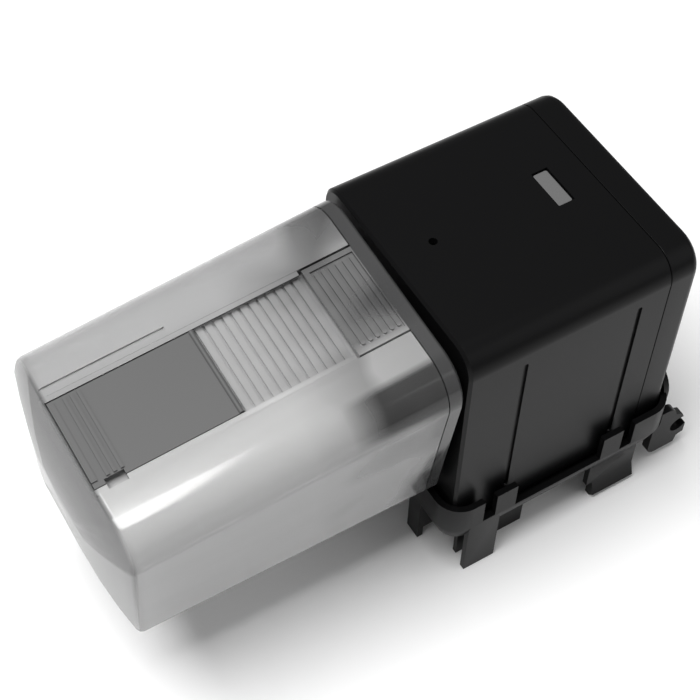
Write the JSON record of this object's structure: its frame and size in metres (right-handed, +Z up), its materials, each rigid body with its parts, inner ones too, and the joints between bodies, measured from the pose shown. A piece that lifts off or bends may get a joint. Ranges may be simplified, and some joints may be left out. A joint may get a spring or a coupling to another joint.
{
  "type": "automatic fish feeder",
  "caption": "Aquarium feeder: a square motor housing on a clip-on bracket turns a clear box-shaped food drum with a sliding dosing gate along its top.",
  "frame": {"origin": "centre of the underside of the bracket's plate, midway along the motor housing", "axes": "+X along the drum axis from the free end of the drum towards the rear cover, +Y across to the side with the power inlet, +Z up"},
  "size_m": [0.1801, 0.0766, 0.0993],
  "materials": {
    "housing_plastic": "fine satin moulding texture",
    "smoke_plastic": "polished clear smoke-tinted plastic",
    "gate_plastic": "matt moulded",
    "button_plastic": "satin translucent moulding",
    "gear_plastic": "natural moulded gear plastic",
    "cradle_plastic": "matt moulded",
    "steel": "plain plated steel",
    "spring_steel": "bright nickel plated",
    "circuit_board": "green solder mask",
    "switch_plastic": "matt moulded",
    "battery_jacket": "printed film jacket, plain"
  },
  "bodies": {
    "bracket": {"base_bracket": "housing_plastic"},
    "housing": {"main_housing": "housing_plastic", "rear_cover": "housing_plastic", "hub_bush": "gear_plastic", "gear_plate": "gear_plastic", "gear_axle_1": "steel", "gear_axle_2": "steel", "motor": "steel", "gear_plate_screw_1": "steel", "gear_plate_screw_2": "steel", "gear_plate_screw_3": "steel", "control_board": "circuit_board", "board_screw_1": "steel", "board_screw_2": "steel", "feed_switch": "switch_plastic", "reset_switch": "switch_plastic", "radio_module": "steel", "power_inlet": "steel", "battery_cradle": "cradle_plastic", "battery_1": "battery_jacket", "battery_2": "battery_jacket", "battery_spring_1": "spring_steel", "battery_spring_2": "spring_steel", "spring_plate_1": "spring_steel", "spring_plate_2": "spring_steel", "contact_plate_1": "spring_steel", "contact_plate_2": "spring_steel"},
    "output": {"output_gear": "gear_plastic", "home_magnet": "steel", "drive_hub": "housing_plastic", "end_cap": "smoke_plastic"},
    "second_gear": {"reduction_gear_2": "gear_plastic"},
    "first_gear": {"reduction_gear_1": "gear_plastic"},
    "rotor": {"motor_pinion": "steel"},
    "drum": {"drum_shell": "smoke_plastic"},
    "gate": {"dosing_gate": "gate_plastic"},
    "button": {"feed_button": "button_plastic"},
    "plunger": {"reset_plunger": "button_plastic"}
  },
  "joints": [
    {"name": "housing_lift", "type": "slide", "parent": "bracket", "child": "housing", "axis": [0, 0, 1], "range_m": [0, 0.02]},
    {"name": "drum_turn", "type": "hinge", "parent": "housing", "child": "output", "pos_m": [-0.0354, 0, 0.0517], "axis": [1, 0, 0], "continuous": true},
    {"name": "gear_2_turn", "type": "hinge", "parent": "housing", "child": "second_gear", "pos_m": [-0.0254, 0.0096, 0.03507], "axis": [1, 0, 0], "continuous": true},
    {"name": "gear_1_turn", "type": "hinge", "parent": "housing", "child": "first_gear", "pos_m": [-0.0234, -0.00495, 0.02667], "axis": [1, 0, 0], "continuous": true},
    {"name": "motor_turn", "type": "hinge", "parent": "housing", "child": "rotor", "pos_m": [-0.0214, -0.02149, 0.02959], "axis": [1, 0, 0], "continuous": true},
    {"name": "drum_pull", "type": "slide", "parent": "output", "child": "drum", "axis": [-1, 0, 0], "range_m": [0, 0.025]},
    {"name": "gate_slide", "type": "slide", "parent": "drum", "child": "gate", "axis": [0.9968, -0.0062, 0.0792], "range_m": [0, 0.0305]},
    {"name": "button_press", "type": "slide", "parent": "housing", "child": "button", "axis": [0, 0, -1], "range_m": [0, 0.0008], "stiffness_N_per_m": 600, "springref_m": -0.0008},
    {"name": "reset_press", "type": "slide", "parent": "housing", "child": "plunger", "axis": [0, 0, -1], "range_m": [0, 0.0003], "stiffness_N_per_m": 800, "springref_m": -0.0003}
  ],
  "couplings": [
    {"joint": "gear_2_turn", "follows": "drum_turn", "ratio": -3},
    {"joint": "gear_1_turn", "follows": "drum_turn", "ratio": 7.5},
    {"joint": "motor_turn", "follows": "drum_turn", "ratio": -18.75}
  ]
}
